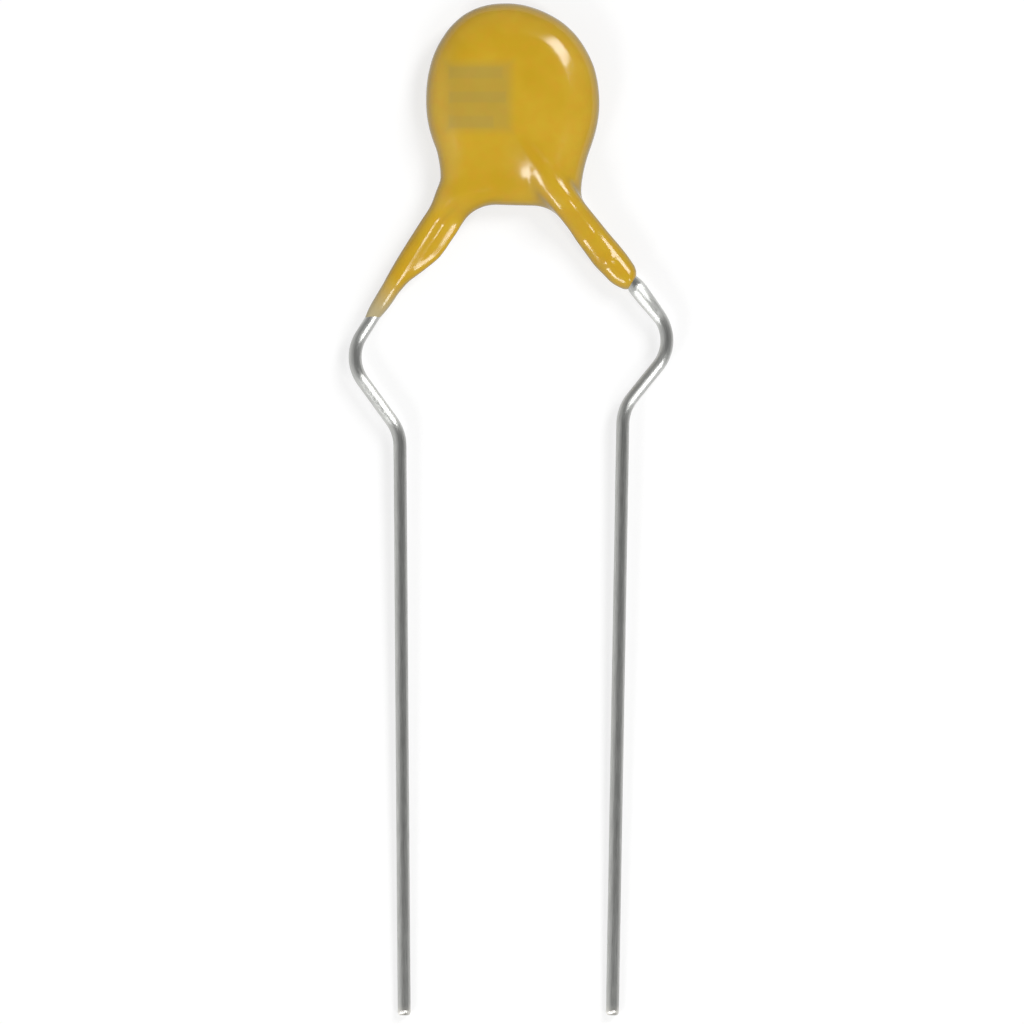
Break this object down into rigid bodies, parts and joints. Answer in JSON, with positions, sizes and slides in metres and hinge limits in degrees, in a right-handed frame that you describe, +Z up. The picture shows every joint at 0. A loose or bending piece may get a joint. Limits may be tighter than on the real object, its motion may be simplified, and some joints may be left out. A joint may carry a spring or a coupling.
{
  "type": "resettable fuse",
  "caption": "Flat disc-shaped resettable fuse dipped in glossy yellow epoxy, with kinked tinned wire leads.",
  "frame": {"origin": "on the surface the part lies on, under the middle of its outline seen from above", "axes": "+X across the leads, +Y from the lead tips to the disc, +Z up through the front face"},
  "size_m": [0.0147, 0.046, 0.0027],
  "materials": {
    "yellow_epoxy": "gloss",
    "conductive_polymer": "matt",
    "nickel_foil": "satin",
    "solder": "satin",
    "tinned_wire": "satin"
  },
  "bodies": {
    "root": {"epoxy_coating": "yellow_epoxy", "ptc_chip": "conductive_polymer", "front_electrode": "nickel_foil", "rear_electrode": "nickel_foil", "front_solder": "solder", "rear_solder": "solder", "front_lead": "tinned_wire", "rear_lead": "tinned_wire"}
  },
  "joints": []
}
